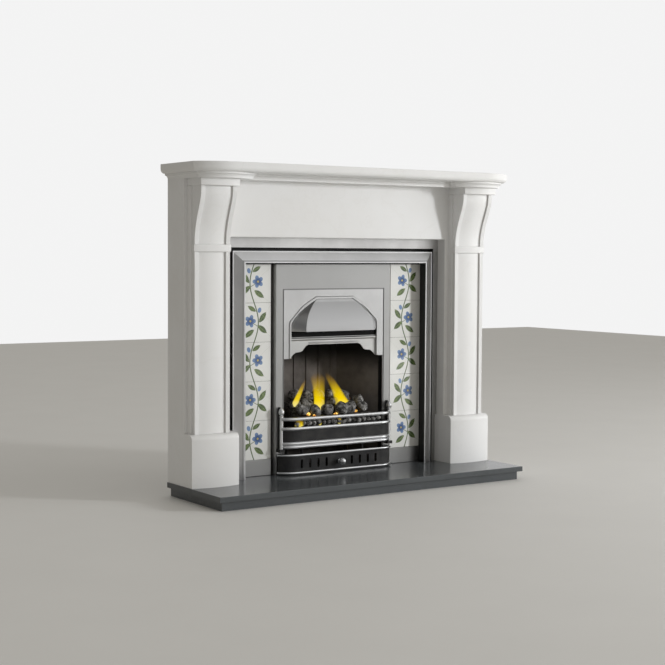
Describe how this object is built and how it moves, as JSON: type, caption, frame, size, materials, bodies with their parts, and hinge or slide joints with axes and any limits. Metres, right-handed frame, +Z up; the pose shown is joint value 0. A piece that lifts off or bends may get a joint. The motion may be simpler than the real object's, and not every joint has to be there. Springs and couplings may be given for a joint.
{
  "type": "stone fireplace",
  "caption": "Stone fireplace surround with bowed corbels, tiled cast iron insert, gas coal fire, lift-off grate and sliding ashpit cover on a dark hearth.",
  "frame": {"origin": "on the floor, at the middle of the overall width and depth", "axes": "+X along the wall towards the right as seen from the room, +Y from the room into the wall, +Z up; the fire faces -Y"},
  "size_m": [1.474, 0.568, 1.253],
  "materials": {
    "stone": "satin white",
    "granite": "polished dark grey",
    "iron": "polished",
    "iron_dark": "blacked",
    "steel": "brushed",
    "chrome": "polished",
    "tile": "glazed with a painted flower pattern",
    "fuel": "matt",
    "brass": "plain",
    "knob": "matt black",
    "zinc": "zinc plated"
  },
  "bodies": {
    "fireplace": {"mantel_shelf": "stone", "bed_mould": "stone", "frieze": "stone", "leg_board_left": "stone", "leg_board_right": "stone", "step_slab_left": "stone", "step_slab_right": "stone", "pilaster_left": "stone", "pilaster_right": "stone", "neck_band_left": "stone", "neck_band_right": "stone", "corbel_left": "stone", "corbel_right": "stone", "cap_block_left": "stone", "cap_block_right": "stone", "plinth_left": "stone", "plinth_right": "stone", "hearth_slab": "granite", "hearth_slip_front": "granite", "hearth_slip_back": "granite", "hearth_slip_left": "granite", "hearth_slip_right": "granite", "rear_hearth": "granite", "bevel_frame": "iron", "centre_panel": "iron", "hood": "iron", "hood_rail": "iron", "lower_plate_left": "iron", "lower_plate_right": "iron", "metal_slips": "steel", "back_plate": "iron_dark", "cheek_left": "iron_dark", "cheek_right": "iron_dark", "firebox_back": "iron_dark", "throat_plate": "iron_dark", "burner_tray": "iron_dark", "bar_brackets": "iron_dark", "tiles_left": "tile", "tiles_right": "tile", "fuel_base": "fuel", "coals": "fuel", "gas_valve": "brass", "gas_pipe": "brass", "burner_feed": "brass", "wall_brackets": "zinc", "panel_bolts": "zinc"},
    "ashpit_cover": {"ashpit_cover": "iron_dark", "cover_beads": "chrome", "ashpit_knob": "chrome"},
    "grate": {"front_bars": "chrome", "finials": "chrome", "fret_panel": "iron_dark", "fret_moulding": "chrome", "end_plates": "iron_dark"},
    "damper": {"damper_flap": "iron_dark"},
    "control": {"control_knob": "knob"}
  },
  "joints": [
    {"name": "cover_slide", "type": "slide", "parent": "fireplace", "child": "ashpit_cover", "axis": [0, -1, 0], "range_m": [0, 0.15]},
    {"name": "grate_lift", "type": "slide", "parent": "fireplace", "child": "grate", "axis": [0, 0, 1], "range_m": [0, 0.12]},
    {"name": "damper_turn", "type": "hinge", "parent": "fireplace", "child": "damper", "pos_m": [0, 0.184, 0.708], "axis": [1, 0, 0], "range_deg": [-60, 20]},
    {"name": "control_turn", "type": "hinge", "parent": "fireplace", "child": "control", "pos_m": [0.09, 0.0395, 0.094], "axis": [0, -1, 0], "range_deg": [-180, 0]}
  ]
}
